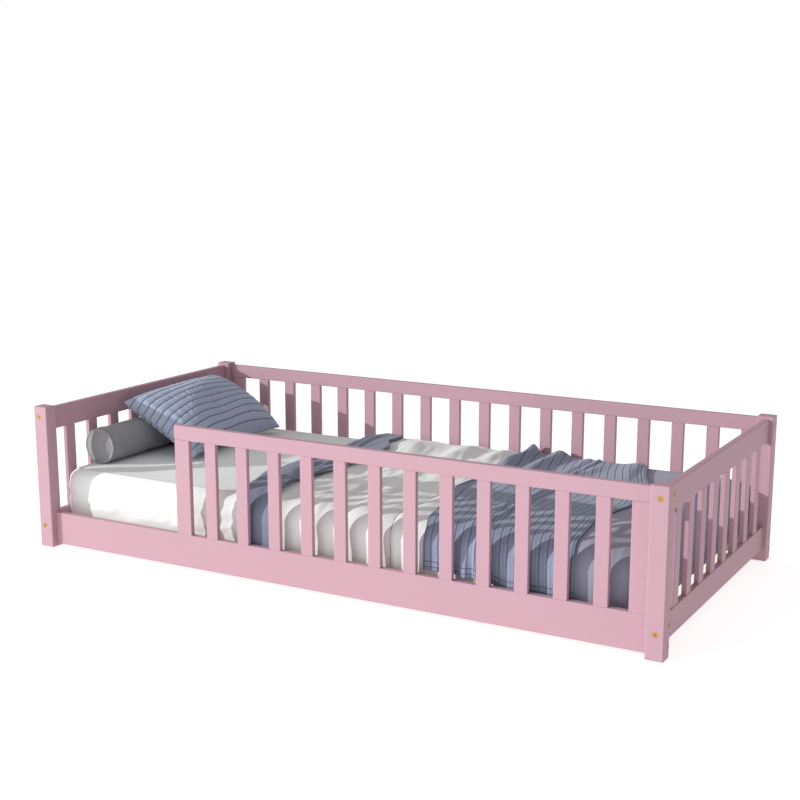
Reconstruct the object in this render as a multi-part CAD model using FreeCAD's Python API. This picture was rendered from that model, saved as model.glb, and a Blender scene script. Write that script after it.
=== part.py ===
"""Toddler floor bed: a low bolted wooden bed with slatted sides and its bedding.

Frame: millimetres, +Z up, Z = 0 on the floor, the origin under the middle of the bed.
+X points to the foot end and -Y to the front, where the guard leaves an entrance gap.
"""
import FreeCAD
import Part
import math
import os
from FreeCAD import Vector

# ---- Driving dimensions ------------------------------------------------------
BED_LENGTH = 2030.0
BED_WIDTH = 986.0

POST_X = 49.0
POST_Y = 43.0
POST_HEIGHT = 445.0

RAIL_TOP = 437.0             # top of every top rail
LONG_TOP_RAIL_HEIGHT = 43.0  # guard and rear panel
END_TOP_RAIL_HEIGHT = 69.0   # head and foot panels
LONG_BOTTOM_RAIL = (9.0, 109.0)
END_BOTTOM_RAIL = (36.0, 108.0)
LONG_RAIL_THICKNESS = 20.0
END_RAIL_THICKNESS = 18.0
LONG_RAIL_SETBACK = 20.0     # rail's front face behind the front face of its posts
END_RAIL_SETBACK = 13.0      # rail's outer face inside the outer face of its posts

STILE_WIDTH = 52.0
STILE_THICKNESS = 16.0
SLAT_WIDTH = 39.0
SLAT_THICKNESS = 14.0
LONG_SLAT_SETBACK = 1.0
END_SLAT_SETBACK = 2.0
ENTRANCE_WIDTH = 477.0       # from the head post to the guard
GUARD_SLATS = 12
GUARD_PITCH = 109.3
REAR_SLATS = 16
REAR_PITCH = 110.3
END_SLATS = 8

TENON_LENGTH = 10.0
TENON_SHOULDER = 2.5
MORTISE_PLAY = 0.1
EDGE_RADIUS = 2.0
POST_EDGE_RADIUS = 3.0
POST_END_CHAMFER = 1.0

BOLT_RADIUS = 3.0
BOLT_HOLE_RADIUS = 3.3
BOLT_IN_RAIL = 44.0
BOLT_HEAD_RADIUS = 7.5
BOLT_HEAD_THICKNESS = 4.0
HEX_SOCKET_RADIUS = 2.9
HEX_SOCKET_DEPTH = 3.0
COUNTERBORE_RADIUS = 8.0
COUNTERBORE_DEPTH = 5.0
NUT_RADIUS = 5.0
NUT_LENGTH = 12.0
NUT_FROM_RAIL_END = 38.0
NUT_PLAY = 0.1

LONG_TOP_BOLT_Z = 421.5
LONG_BOTTOM_BOLT_Z = (33.5, 89.0)
END_TOP_BOLT_Z = 413.5
END_BOTTOM_BOLT_Z = 69.0

DOWEL_RADIUS = 4.0
DOWEL_LENGTH = 24.0
DOWEL_PLAY = 0.1
LONG_TOP_DOWEL_Z = 410.5
END_TOP_DOWEL_Z = 388.0
END_BOTTOM_DOWEL_Z = 50.0

CLEAT_LENGTH = 1800.0
CLEAT_DEPTH = 20.0
CLEAT_Z = (33.0, 56.0)
CLEAT_SCREW_BAYS = (-5.5, -3.5, -1.5, 1.5, 3.5, 5.5)
SUPPORT_SLATS = 13
SUPPORT_PITCH = 143.0
SUPPORT_WIDTH = 68.0
SUPPORT_THICKNESS = 12.0
SUPPORT_END_PLAY = 1.0
SCREW_RADIUS = 2.0
SCREW_HEAD_RADIUS = 4.0
SCREW_HEAD_HEIGHT = 2.5
SCREW_PLAY = 0.05
CLEAT_SCREW_LENGTH = 32.0
SUPPORT_SCREW_LENGTH = 25.0

REST_GAP = 0.3               # between loose pieces and what carries them
MATTRESS_X = (-981.0, 923.0)
MATTRESS_Y = (-418.0, 437.0)
MATTRESS_TOP = 233.0
MATTRESS_CORNER = 42.0
MATTRESS_EDGE = 22.0

BOLSTER_RADIUS = 58.0
BOLSTER_HALF_LENGTH = 315.0
BOLSTER_X = -925.0
BOLSTER_END_ROUND = 12.0

PILLOW_SLOPE_LENGTH = 339.0
PILLOW_WIDTH = 530.0
PILLOW_CENTRE = (-820.0, 105.0, 324.0)
PILLOW_TILT = 28.5
PILLOW_CROWN = 75.0
PILLOW_BELLY = 24.0

DUVET_HEAD_X = -360.0
DUVET_THICKNESS = 24.0
DUVET_FLAP = 16.5
DUVET_HEM_Z = 84.0
THROW_X = (250.0, 745.0)
THROW_THICKNESS = 18.0
THROW_FLAP = 16.5
THROW_HEM_Z = 112.0

# ---- Derived places ----------------------------------------------------------
HALF_X = BED_LENGTH / 2
HALF_Y = BED_WIDTH / 2
POST_INNER_X = HALF_X - POST_X
POST_INNER_Y = HALF_Y - POST_Y
FRONT_RAIL_Y = -HALF_Y + LONG_RAIL_SETBACK
FRONT_RAIL_INNER_Y = FRONT_RAIL_Y + LONG_RAIL_THICKNESS
REAR_RAIL_Y = POST_INNER_Y + LONG_RAIL_SETBACK
GUARD_START_X = -POST_INNER_X + ENTRANCE_WIDTH
LONG_TOP_RAIL = (RAIL_TOP - LONG_TOP_RAIL_HEIGHT, RAIL_TOP)
END_TOP_RAIL = (RAIL_TOP - END_TOP_RAIL_HEIGHT, RAIL_TOP)
END_RAIL_MID_X = HALF_X - END_RAIL_SETBACK - END_RAIL_THICKNESS / 2
SUPPORT_TOP = CLEAT_Z[1] + SUPPORT_THICKNESS
SIDES = (-1, 1)
PARALLEL = 0.999999          # cosine above which an edge counts as parallel to an axis
LEVEL = 1e-6                 # rise below which an edge counts as level

X_AXIS = Vector(1, 0, 0)
Y_AXIS = Vector(0, 1, 0)
Z_AXIS = Vector(0, 0, 1)

parts = {}


# ---- Shapes used again and again ---------------------------------------------
def block(xs, ys, zs):
    """A box between two X, two Y and two Z values."""
    return Part.makeBox(xs[1] - xs[0], ys[1] - ys[0], zs[1] - zs[0], Vector(xs[0], ys[0], zs[0]))


def rod(start, direction, radius, length):
    """A cylinder from a point along a direction."""
    return Part.makeCylinder(radius, length, start, direction)


def runs_along(edge, axis):
    """True for a straight edge that is parallel to an axis."""
    if not isinstance(edge.Curve, Part.Line):
        return False
    return abs(edge.Curve.Direction.dot(axis)) > PARALLEL


def lies_flat(edge):
    """True for an edge in a horizontal plane."""
    return edge.BoundBox.ZLength < LEVEL


def eased(shape, axis, radius):
    """The shape with its edges parallel to an axis rounded over."""
    return shape.makeFillet(radius, [e for e in shape.Edges if runs_along(e, axis)])


def wider(span, grow):
    """A range made wider by grow at both ends."""
    return (span[0] - grow, span[1] + grow)


def drilled(shape, tools):
    """The shape with every tool cut from it."""
    for tool in tools:
        shape = shape.cut(tool)
    return shape


def upright(xs, ys, zs):
    """A slat or stile: an eased bar between two rails with a stub tenon at each end."""
    bar = eased(block(xs, ys, zs), Z_AXIS, EDGE_RADIUS)
    for end in tenons(xs, ys, zs, 0.0):
        bar = bar.fuse(end)
    return bar.removeSplitter()


def tenons(xs, ys, zs, play):
    """The two stub tenons of an upright, or with some play the mortises that take them."""
    grow = play - TENON_SHOULDER
    below = (zs[0] - TENON_LENGTH - play, zs[0])
    above = (zs[1], zs[1] + TENON_LENGTH + play)
    return [block(wider(xs, grow), wider(ys, grow), span) for span in (below, above)]


def mortised(rail, uprights):
    """The rail with a pocket for the tenon of every upright that meets it."""
    for xs, ys, zs in uprights:
        rail = drilled(rail, tenons(xs, ys, zs, MORTISE_PLAY))
    return rail


# ---- Bolted and dowelled joints ----------------------------------------------
class Bolted:
    """A cross bolt through a post into the end of a rail, held by a barrel nut.

    start is where the axis meets the post's outer face, inward the way the bolt is driven,
    across the barrel nut's axis towards the face it goes in by, and depth the post's size
    along the bolt.
    """

    def __init__(self, start, inward, across, depth, rail_thickness):
        self.start = start
        self.inward = inward
        self.across = across
        self.depth = depth
        self.rail_thickness = rail_thickness
        self.nut_centre = start + inward * (depth + NUT_FROM_RAIL_END)

    def bolt(self):
        """Round flat head with a hexagon socket, and the shank."""
        seat = self.start + self.inward * COUNTERBORE_DEPTH
        top = seat - self.inward * BOLT_HEAD_THICKNESS
        head = rod(top, self.inward, BOLT_HEAD_RADIUS, BOLT_HEAD_THICKNESS)
        shank = rod(seat, self.inward, BOLT_RADIUS, self.depth - COUNTERBORE_DEPTH + BOLT_IN_RAIL)
        socket = hexagon(top, self.inward, self.across, HEX_SOCKET_RADIUS, HEX_SOCKET_DEPTH)
        return head.fuse(shank).cut(socket)

    def nut(self):
        """A short round nut lying across the rail, with the bolt's hole through it."""
        body = rod(self.nut_centre - self.across * (NUT_LENGTH / 2), self.across, NUT_RADIUS, NUT_LENGTH)
        return body.cut(rod(self.nut_centre - self.inward * 2 * NUT_RADIUS, self.inward,
                            BOLT_RADIUS + NUT_PLAY, 4 * NUT_RADIUS))

    def post_holes(self):
        """Counterbore and clearance hole in the post."""
        return [rod(self.start, self.inward, COUNTERBORE_RADIUS, COUNTERBORE_DEPTH),
                rod(self.start, self.inward, BOLT_HOLE_RADIUS, self.depth)]

    def rail_holes(self):
        """Bolt hole in the rail's end, and the nut's blind hole across the rail."""
        rail_end = self.start + self.inward * self.depth
        nut_length = (self.rail_thickness + NUT_LENGTH) / 2 + NUT_PLAY
        nut_start = self.nut_centre + self.across * (self.rail_thickness / 2 - nut_length)
        return [rod(rail_end, self.inward, BOLT_HOLE_RADIUS, BOLT_IN_RAIL + 1),
                rod(nut_start, self.across, NUT_RADIUS + NUT_PLAY, nut_length)]


def hexagon(centre, axis, first, radius, depth):
    """A six-sided prism from a centre along an axis, one corner towards first."""
    second = axis.cross(first)
    turns = [k * math.pi / 3 for k in range(7)]
    corners = [centre + first * (radius * math.cos(t)) + second * (radius * math.sin(t)) for t in turns]
    return Part.Face(Part.makePolygon(corners)).extrude(axis * depth)


def long_joints(side_x, front):
    """Bolts between one post and the long rails that meet it; all nuts go in from the rear."""
    rail_y = FRONT_RAIL_Y if front else REAR_RAIL_Y
    has_top_rail = side_x > 0 or not front
    heights = LONG_BOTTOM_BOLT_Z + ((LONG_TOP_BOLT_Z,) if has_top_rail else ())
    return {z: Bolted(Vector(side_x * HALF_X, rail_y + LONG_RAIL_THICKNESS / 2, z), X_AXIS * -side_x, Y_AXIS,
                      POST_X, LONG_RAIL_THICKNESS)
            for z in heights}


def end_joints(side_x, side_y):
    """Bolts between one post and the end rails that meet it; all nuts go in from the head side."""
    return {z: Bolted(Vector(side_x * END_RAIL_MID_X, side_y * HALF_Y, z), Y_AXIS * -side_y, -X_AXIS,
                      POST_Y, END_RAIL_THICKNESS)
            for z in (END_BOTTOM_BOLT_Z, END_TOP_BOLT_Z)}


def dowel(centre, axis, play):
    """A locating dowel centred on the joint between a post and a rail, or its hole."""
    length = DOWEL_LENGTH + 4 * play
    return rod(centre - axis * (length / 2), axis, DOWEL_RADIUS + play, length)


def dowel_places(side_x, front):
    """Centre and axis of each dowel in one post."""
    side_y = -1 if front else 1
    rail_y = FRONT_RAIL_Y if front else REAR_RAIL_Y
    places = [(Vector(side_x * END_RAIL_MID_X, side_y * POST_INNER_Y, z), Y_AXIS)
              for z in (END_BOTTOM_DOWEL_Z, END_TOP_DOWEL_Z)]
    if side_x > 0 or not front:
        middle = Vector(side_x * POST_INNER_X, rail_y + LONG_RAIL_THICKNESS / 2, LONG_TOP_DOWEL_Z)
        places.append((middle, X_AXIS))
    return places


def screw(tip_end, direction, length, play):
    """A countersunk wood screw whose head is flush at tip_end, or its pilot hole."""
    head = Part.makeCone(SCREW_HEAD_RADIUS + play, SCREW_RADIUS + play, SCREW_HEAD_HEIGHT, tip_end, direction)
    return head.fuse(rod(tip_end, direction, SCREW_RADIUS + play, length + play))


# ---- Corner posts --------------------------------------------------------------
def make_post(side_x, front):
    """A rectangular post, eased all round, with its counterbores, bolt and dowel holes."""
    side_y = -1 if front else 1
    xs = sorted((side_x * HALF_X, side_x * POST_INNER_X))
    ys = sorted((side_y * HALF_Y, side_y * POST_INNER_Y))
    post = eased(block(xs, ys, (0, POST_HEIGHT)), Z_AXIS, POST_EDGE_RADIUS)
    post = post.makeChamfer(POST_END_CHAMFER, [e for e in post.Edges if lies_flat(e)])
    for joint in list(long_joints(side_x, front).values()) + list(end_joints(side_x, side_y).values()):
        post = drilled(post, joint.post_holes())
    return drilled(post, [dowel(c, a, DOWEL_PLAY) for c, a in dowel_places(side_x, front)])


# ---- Rails ---------------------------------------------------------------------
def rail_tools(joints, heights, dowels, low, high):
    """Bolt, nut and dowel holes that fall between a rail's bottom and top."""
    tools = []
    for z in heights:
        tools += joints[z].rail_holes()
    tools += [dowel(c, a, DOWEL_PLAY) for c, a in dowels if low < c.z < high]
    return tools


def make_long_rail(xs, zs, front, uprights, bolt_heights, sides):
    """A rail along X with its mortises, and its holes at the named ends."""
    rail_y = FRONT_RAIL_Y if front else REAR_RAIL_Y
    rail = eased(block(xs, (rail_y, rail_y + LONG_RAIL_THICKNESS), zs), X_AXIS, EDGE_RADIUS)
    rail = mortised(rail, uprights)
    for side_x in sides:
        dowels = [place for place in dowel_places(side_x, front) if place[1] == X_AXIS]
        rail = drilled(rail, rail_tools(long_joints(side_x, front), bolt_heights, dowels, *zs))
    return rail


def make_end_rail(side_x, zs, uprights, bolt_height):
    """A rail along Y between two posts at the head or the foot."""
    xs = (side_x * END_RAIL_MID_X - END_RAIL_THICKNESS / 2, side_x * END_RAIL_MID_X + END_RAIL_THICKNESS / 2)
    rail = eased(block(xs, (-POST_INNER_Y, POST_INNER_Y), zs), Y_AXIS, EDGE_RADIUS)
    rail = mortised(rail, uprights)
    for side_y in SIDES:
        dowels = [place for place in dowel_places(side_x, side_y < 0) if place[1] == Y_AXIS]
        rail = drilled(rail, rail_tools(end_joints(side_x, side_y), (bolt_height,), dowels, *zs))
    return rail


def centred_starts(low, high, count, pitch, width):
    """Left edges of evenly pitched bars, the row centred between two limits."""
    first = (low + high - (count - 1) * pitch - width) / 2
    return [first + k * pitch for k in range(count)]


# ---- The frame's panels -----------------------------------------------------------
def long_uprights(start_x, front, count, pitch):
    """Ranges of the two stiles, and of the slats between them, of a long panel."""
    rail_y = FRONT_RAIL_Y if front else REAR_RAIL_Y
    zs = (LONG_BOTTOM_RAIL[1], LONG_TOP_RAIL[0])
    stile_y = (rail_y, rail_y + STILE_THICKNESS)
    slat_y = (rail_y + LONG_SLAT_SETBACK, rail_y + LONG_SLAT_SETBACK + SLAT_THICKNESS)
    stiles = [((start_x, start_x + STILE_WIDTH), stile_y, zs),
              ((POST_INNER_X - STILE_WIDTH, POST_INNER_X), stile_y, zs)]
    starts = centred_starts(start_x + STILE_WIDTH, POST_INNER_X - STILE_WIDTH, count, pitch, SLAT_WIDTH)
    return stiles, [((x, x + SLAT_WIDTH), slat_y, zs) for x in starts]


def end_uprights(side_x):
    """Ranges of the slats of the head or foot panel, with equal gaps all along."""
    gap = (2 * POST_INNER_Y - END_SLATS * SLAT_WIDTH) / (END_SLATS + 1)
    half = END_RAIL_THICKNESS / 2 - END_SLAT_SETBACK
    xs = (side_x * END_RAIL_MID_X - half, side_x * END_RAIL_MID_X + half)
    starts = centred_starts(-POST_INNER_Y, POST_INNER_Y, END_SLATS, SLAT_WIDTH + gap, SLAT_WIDTH)
    return [(xs, (y, y + SLAT_WIDTH), (END_BOTTOM_RAIL[1], END_TOP_RAIL[0])) for y in starts]


def build_posts():
    for side_x, end_name in ((-1, "head"), (1, "foot")):
        for front, side_name in ((True, "front"), (False, "rear")):
            parts[f"post_{end_name}_{side_name}"] = make_post(side_x, front)


def build_front():
    stiles, slats = long_uprights(GUARD_START_X, True, GUARD_SLATS, GUARD_PITCH)
    full = (-POST_INNER_X, POST_INNER_X)
    parts["front_bottom_rail"] = make_long_rail(full, LONG_BOTTOM_RAIL, True, stiles + slats,
                                                LONG_BOTTOM_BOLT_Z, SIDES)
    parts["guard_top_rail"] = make_long_rail((GUARD_START_X, POST_INNER_X), LONG_TOP_RAIL, True,
                                             stiles + slats, (LONG_TOP_BOLT_Z,), (1,))
    parts["guard_stile_entrance"] = upright(*stiles[0])
    parts["guard_stile_foot"] = upright(*stiles[1])
    for number, slat in enumerate(slats, 1):
        parts[f"guard_slat_{number:02d}"] = upright(*slat)


def build_rear():
    stiles, slats = long_uprights(-POST_INNER_X, False, REAR_SLATS, REAR_PITCH)
    full = (-POST_INNER_X, POST_INNER_X)
    parts["rear_bottom_rail"] = make_long_rail(full, LONG_BOTTOM_RAIL, False, stiles + slats,
                                               LONG_BOTTOM_BOLT_Z, SIDES)
    parts["rear_top_rail"] = make_long_rail(full, LONG_TOP_RAIL, False, stiles + slats,
                                            (LONG_TOP_BOLT_Z,), SIDES)
    parts["rear_stile_head"] = upright(*stiles[0])
    parts["rear_stile_foot"] = upright(*stiles[1])
    half = REAR_SLATS // 2
    parts["rear_slats_head_half"] = Part.makeCompound([upright(*slat) for slat in slats[:half]])
    parts["rear_slats_foot_half"] = Part.makeCompound([upright(*slat) for slat in slats[half:]])


def build_ends():
    for side_x, name in ((-1, "head"), (1, "foot")):
        slats = end_uprights(side_x)
        parts[f"{name}_top_rail"] = make_end_rail(side_x, END_TOP_RAIL, slats, END_TOP_BOLT_Z)
        parts[f"{name}_bottom_rail"] = make_end_rail(side_x, END_BOTTOM_RAIL, slats, END_BOTTOM_BOLT_Z)
        for number, slat in enumerate(slats, 1):
            parts[f"{name}_slat_{number}"] = upright(*slat)


# ---- Fasteners -------------------------------------------------------------------
def build_fasteners():
    joints = []
    dowels = []
    for side_x in SIDES:
        for side_y in SIDES:
            joints += list(long_joints(side_x, side_y < 0).values())
            joints += list(end_joints(side_x, side_y).values())
            dowels += [dowel(c, a, 0.0) for c, a in dowel_places(side_x, side_y < 0)]
    parts["cross_bolts"] = Part.makeCompound([joint.bolt() for joint in joints])
    parts["barrel_nuts"] = Part.makeCompound([joint.nut() for joint in joints])
    parts["locating_dowels"] = Part.makeCompound(dowels)


# ---- Mattress support --------------------------------------------------------------
def cleat_screw_shapes(front, play):
    """The screws of one cleat, driven from its inner face into the rail."""
    inner_y = FRONT_RAIL_INNER_Y + CLEAT_DEPTH if front else REAR_RAIL_Y - CLEAT_DEPTH
    drive = -Y_AXIS if front else Y_AXIS
    middle_z = sum(CLEAT_Z) / 2
    return [screw(Vector(bay * SUPPORT_PITCH, inner_y, middle_z), drive, CLEAT_SCREW_LENGTH, play)
            for bay in CLEAT_SCREW_BAYS]


def support_screw_shapes(front, play):
    """The screws that hold one end of every support slat to its cleat."""
    y = FRONT_RAIL_INNER_Y + CLEAT_DEPTH / 2 if front else REAR_RAIL_Y - CLEAT_DEPTH / 2
    return [screw(Vector((k - SUPPORT_SLATS // 2) * SUPPORT_PITCH, y, SUPPORT_TOP), -Z_AXIS,
                  SUPPORT_SCREW_LENGTH, play)
            for k in range(SUPPORT_SLATS)]


def build_support():
    screws = {"cleat": [], "support": []}
    for front, name in ((True, "front"), (False, "rear")):
        low_y = FRONT_RAIL_INNER_Y if front else REAR_RAIL_Y - CLEAT_DEPTH
        ys = (low_y, low_y + CLEAT_DEPTH)
        cleat = block((-CLEAT_LENGTH / 2, CLEAT_LENGTH / 2), ys, CLEAT_Z)
        holes = cleat_screw_shapes(front, SCREW_PLAY)
        parts[f"{name}_bottom_rail"] = drilled(parts[f"{name}_bottom_rail"], holes)
        parts[f"{name}_cleat"] = drilled(cleat, holes + support_screw_shapes(front, SCREW_PLAY))
        screws["cleat"] += cleat_screw_shapes(front, 0.0)
        screws["support"] += support_screw_shapes(front, 0.0)

    slats = []
    ys = (FRONT_RAIL_INNER_Y + SUPPORT_END_PLAY, REAR_RAIL_Y - SUPPORT_END_PLAY)
    for k in range(SUPPORT_SLATS):
        middle = (k - SUPPORT_SLATS // 2) * SUPPORT_PITCH
        slat = block((middle - SUPPORT_WIDTH / 2, middle + SUPPORT_WIDTH / 2), ys, (CLEAT_Z[1], SUPPORT_TOP))
        slat = eased(slat, Y_AXIS, EDGE_RADIUS)
        holes = [support_screw_shapes(front, SCREW_PLAY)[k] for front in (True, False)]
        slats.append(drilled(slat, holes))
    parts["support_slats"] = Part.makeCompound(slats)
    parts["cleat_screws"] = Part.makeCompound(screws["cleat"])
    parts["support_slat_screws"] = Part.makeCompound(screws["support"])


# ---- Bedding ----------------------------------------------------------------------
def build_mattress():
    """A block with rounded corners and softly rounded top and bottom edges."""
    body = block(MATTRESS_X, MATTRESS_Y, (SUPPORT_TOP + REST_GAP, MATTRESS_TOP))
    body = eased(body, Z_AXIS, MATTRESS_CORNER)
    parts["mattress"] = body.makeFillet(MATTRESS_EDGE, [e for e in body.Edges if lies_flat(e)])


def build_bolster():
    """A round bolster across the head of the mattress."""
    axis_z = MATTRESS_TOP + REST_GAP + BOLSTER_RADIUS
    start = Vector(BOLSTER_X, -BOLSTER_HALF_LENGTH, axis_z)
    body = rod(start, Y_AXIS, BOLSTER_RADIUS, 2 * BOLSTER_HALF_LENGTH)
    rims = [e for e in body.Edges if isinstance(e.Curve, Part.Circle)]
    parts["bolster"] = body.makeFillet(BOLSTER_END_ROUND, rims)


def lens(half_chord, crown, belly, length, along_x):
    """A bar with a lens section: two arcs through the ends of a chord, crown above and belly below."""
    def point(offset, height):
        return Vector(offset, 0, height) if along_x else Vector(0, offset, height)

    top = Part.Arc(point(-half_chord, 0), point(0, crown), point(half_chord, 0)).toShape()
    bottom = Part.Arc(point(half_chord, 0), point(0, -belly), point(-half_chord, 0)).toShape()
    span = (Y_AXIS if along_x else X_AXIS) * length
    bar = Part.Face(Part.Wire([top, bottom])).extrude(span)
    bar.translate(span * -0.5)
    return bar


def build_pillow():
    """Two crossed lens bars give the crowned form; it leans from the mattress over the bolster."""
    along_slope = lens(PILLOW_SLOPE_LENGTH / 2, PILLOW_CROWN, PILLOW_BELLY, PILLOW_WIDTH, True)
    across_bed = lens(PILLOW_WIDTH / 2, PILLOW_CROWN, PILLOW_BELLY, PILLOW_SLOPE_LENGTH, False)
    body = along_slope.common(across_bed)
    body.rotate(Vector(0, 0, 0), Y_AXIS, PILLOW_TILT)
    body.translate(Vector(*PILLOW_CENTRE))
    parts["pillow"] = body


def build_duvet():
    """A flat duvet on the mattress that hangs down over its front and its foot end."""
    low = MATTRESS_TOP + REST_GAP
    high = low + DUVET_THICKNESS
    inner_y = MATTRESS_Y[0] - REST_GAP
    outer_y = inner_y - DUVET_FLAP
    inner_x = MATTRESS_X[1] + REST_GAP
    outer_x = inner_x + DUVET_FLAP
    top = block((DUVET_HEAD_X, outer_x), (outer_y, MATTRESS_Y[1]), (low, high))
    front_flap = block((DUVET_HEAD_X, outer_x), (outer_y, inner_y), (DUVET_HEM_Z, high))
    foot_flap = block((inner_x, outer_x), (outer_y, MATTRESS_Y[1]), (DUVET_HEM_Z, high))
    parts["duvet"] = top.fuse(front_flap).fuse(foot_flap).removeSplitter()


def build_throw():
    """A folded throw across the foot third, hanging over the duvet's front edge."""
    low = MATTRESS_TOP + 2 * REST_GAP + DUVET_THICKNESS
    high = low + THROW_THICKNESS
    inner_y = MATTRESS_Y[0] - 2 * REST_GAP - DUVET_FLAP
    outer_y = inner_y - THROW_FLAP
    top = block(THROW_X, (outer_y, MATTRESS_Y[1]), (low, high))
    front_flap = block(THROW_X, (outer_y, inner_y), (THROW_HEM_Z, high))
    parts["throw_blanket"] = top.fuse(front_flap).removeSplitter()


def main():
    build_posts()
    build_front()
    build_rear()
    build_ends()
    build_fasteners()
    build_support()
    build_mattress()
    build_bolster()
    build_pillow()
    build_duvet()
    build_throw()
    os.makedirs("parts", exist_ok=True)
    for name, shape in parts.items():
        shape.exportStep(f"parts/{name}.step")
    print(len(parts), "parts,", "all valid:", all(shape.isValid() for shape in parts.values()))


main()
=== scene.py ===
"""Toddler floor bed: painted slatted frame with mattress, bolster, pillow, duvet and throw blanket.

Laid out as a Blender add-on and run as a script. Metres, +Z up, +X to the foot end, -Y to the front.
"""
import math

import bmesh
import bpy
import numpy as np
from bpy.props import FloatProperty, FloatVectorProperty, PointerProperty
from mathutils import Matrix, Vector


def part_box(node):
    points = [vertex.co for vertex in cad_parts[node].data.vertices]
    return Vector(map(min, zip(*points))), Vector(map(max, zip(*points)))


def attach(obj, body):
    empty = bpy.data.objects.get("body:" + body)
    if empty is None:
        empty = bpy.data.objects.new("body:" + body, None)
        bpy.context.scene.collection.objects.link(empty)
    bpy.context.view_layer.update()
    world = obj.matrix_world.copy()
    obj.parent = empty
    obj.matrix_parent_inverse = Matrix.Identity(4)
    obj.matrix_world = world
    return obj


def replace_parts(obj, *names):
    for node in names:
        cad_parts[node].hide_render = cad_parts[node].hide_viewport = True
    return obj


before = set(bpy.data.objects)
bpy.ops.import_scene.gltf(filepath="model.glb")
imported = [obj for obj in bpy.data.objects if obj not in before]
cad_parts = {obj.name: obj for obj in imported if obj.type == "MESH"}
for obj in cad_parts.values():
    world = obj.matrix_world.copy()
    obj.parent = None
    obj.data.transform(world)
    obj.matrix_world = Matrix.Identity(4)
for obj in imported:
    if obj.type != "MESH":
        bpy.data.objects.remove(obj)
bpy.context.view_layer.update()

bl_info = {
    "name": "Toddler Floor Bed",
    "version": (1, 0, 0),
    "blender": (4, 5, 0),
    "location": "View3D > Sidebar > Floor Bed",
    "description": "Finishes the bed's frame and makes its bedding and a plain studio",
    "category": "Object",
}

MATTRESS_LOW, MATTRESS_HIGH = (np.array(corner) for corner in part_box("mattress"))
BOLSTER_LOW, BOLSTER_HIGH = (np.array(corner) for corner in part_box("bolster"))
DUVET_FOOT_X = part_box("duvet")[1][0]
REAR_RAIL_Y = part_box("rear_top_rail")[0][1]


# ---- What a user would change ------------------------------------------------------
def colour(name, description, default):
    """A colour property in linear values."""
    return FloatVectorProperty(name=name, description=description, default=default, size=3,
                               subtype="COLOR", min=0.0, max=1.0)


def length(name, description, default):
    """A length property in metres."""
    return FloatProperty(name=name, description=description, default=default, unit="LENGTH",
                         subtype="DISTANCE")


class BedFinishes(bpy.types.PropertyGroup):
    """Colours of the bed and its bedding."""
    paint: colour("Paint", "Satin paint of the frame", (0.480, 0.292, 0.343))
    brass: colour("Brass", "Heads of the cross bolts", (0.66, 0.39, 0.13))
    steel: colour("Steel", "Barrel nuts and screws", (0.55, 0.55, 0.54))
    raw_wood: colour("Raw wood", "Support slats, cleats and dowels", (0.62, 0.44, 0.25))
    sheet: colour("Sheet", "Fitted sheet on the mattress", (0.785, 0.785, 0.78))
    bolster: colour("Bolster", "Jersey knit of the bolster", (0.285, 0.288, 0.305))
    duvet_face: colour("Duvet face", "Upper side of the duvet", (0.77, 0.765, 0.76))
    duvet_reverse: colour("Duvet reverse", "Underside of the duvet", (0.175, 0.190, 0.270))
    # The duvet's foot end turns this blue-grey colour
    duvet_foot: colour("Duvet foot", "Dyed foot end of the duvet", (0.285, 0.288, 0.365))
    pillow_yarn: colour("Pillow yarn", "Quilting of the pillow", (0.345, 0.385, 0.505))
    throw_yarn: colour("Throw yarn", "Quilting of the throw", (0.222, 0.248, 0.338))
    # Dark colour of the stitching, which also paints the shade in the stitched grooves
    thread_and_groove_shade: colour("Thread", "Stitching of the pillow and the throw", (0.045, 0.065, 0.11))


class BeddingSizes(bpy.types.PropertyGroup):
    """Sizes of the soft pieces."""
    pillow_crown: length("Pillow crown", "Height of the pillow's upper panel over its seam", 0.084)
    pillow_belly: length("Pillow belly", "Depth of the pillow's lower panel under its seam", 0.026)
    channel_pitch: length("Channel pitch", "Distance between the pillow's stitched channels", 0.0285)
    duvet_thickness: length("Duvet thickness", "Thickness of the duvet", 0.009)
    throw_thickness: length("Throw thickness", "Thickness of the throw blanket", 0.0035)
    stripe_pitch: length("Stripe pitch", "Distance between the throw's stitched stripes", 0.026)


class StudioSettings(bpy.types.PropertyGroup):
    """Camera and lights."""
    azimuth: FloatProperty(name="Azimuth", description="Camera's turn round the bed",
                           default=math.radians(29.26), subtype="ANGLE")
    elevation: FloatProperty(name="Elevation", description="Camera's angle above the horizon",
                             default=math.radians(12.36), subtype="ANGLE")
    lens: FloatProperty(name="Lens", description="Focal length in millimetres", default=62.9, min=10.0)
    sun: FloatProperty(name="Sun", description="Strength of the low key light", default=2.95, min=0.0)
    front: FloatProperty(name="Front", description="Power of the soft box in front", default=28.0, min=0.0)
    dome: FloatProperty(name="Dome", description="Strength of the light all round", default=0.50, min=0.0)


# ---- Node expressions ----------------------------------------------------------------
class Value:
    """A shader socket that takes part in Python expressions, each operator adding its Math node."""

    def __init__(self, shade, socket):
        self.shade = shade
        self.socket = socket

    def math(self, operation, *others):
        operands = dict(enumerate((self,) + others))
        return self.shade.node("ShaderNodeMath", {"operation": operation}, operands)

    def __add__(self, other):
        return self.math("ADD", other)

    def __radd__(self, other):
        return self.math("ADD", other)

    def __sub__(self, other):
        return self.math("SUBTRACT", other)

    def __rsub__(self, other):
        return self.shade.node("ShaderNodeMath", {"operation": "SUBTRACT"}, {0: other, 1: self})

    def __mul__(self, other):
        return self.math("MULTIPLY", other)

    def __rmul__(self, other):
        return self.math("MULTIPLY", other)

    def __truediv__(self, other):
        return self.math("DIVIDE", other)

    def to_multiple(self, pitch):
        """Distance to the nearest multiple of a pitch."""
        return self.math("PINGPONG", pitch / 2)

    def clamped(self):
        """Held between 0 and 1."""
        held = self.math("ADD", 0.0)
        held.socket.node.use_clamp = True
        return held


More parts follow.
